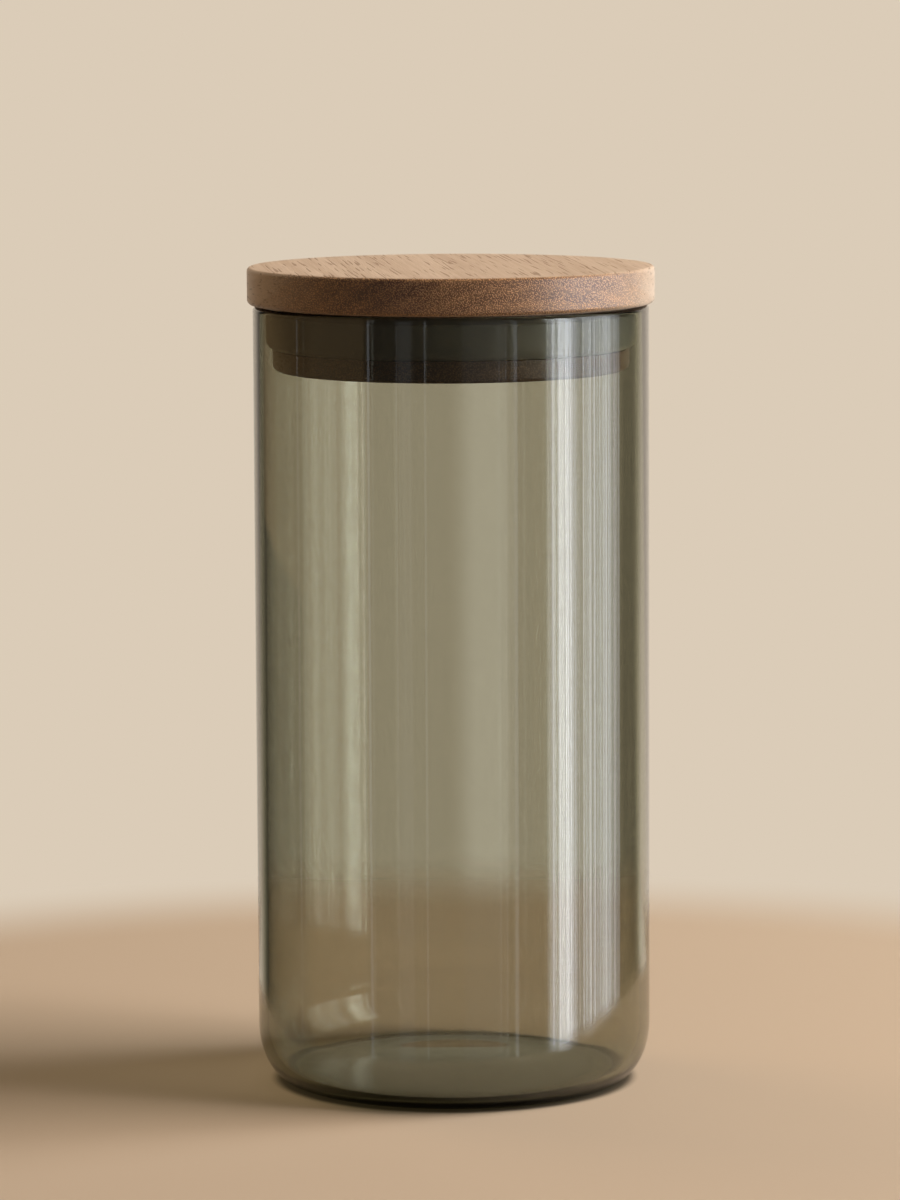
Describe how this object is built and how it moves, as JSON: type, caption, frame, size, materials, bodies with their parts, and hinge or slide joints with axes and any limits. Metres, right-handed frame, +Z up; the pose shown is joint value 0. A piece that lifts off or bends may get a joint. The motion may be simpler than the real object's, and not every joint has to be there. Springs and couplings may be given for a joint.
{
  "type": "glass food storage jar",
  "caption": "Straight cylindrical smoke glass food storage jar with a push-in turned wooden lid and a silicone lip seal round the lid's plug.",
  "frame": {"origin": "centre of the ring that the jar stands on, at the level of the surface under it", "axes": "+Z up along the axis of the jar, through the middle of the lid; the jar is round, so +X and +Y are any two square directions across it"},
  "size_m": [0.1028, 0.1028, 0.2077],
  "materials": {
    "smoke_glass": "clear smoke-grey glass, polished by fire",
    "oiled_wood": "fine-sanded hardwood with a thin coat of oil",
    "clear_silicone": "satin translucent silicone rubber"
  },
  "bodies": {
    "jar": {"glass_jar": "smoke_glass"},
    "lid": {"wooden_lid": "oiled_wood", "silicone_seal": "clear_silicone"}
  },
  "joints": [
    {"name": "lid_lift", "type": "slide", "parent": "jar", "child": "lid", "axis": [0, 0, 1], "range_m": [0, 0.08]}
  ]
}
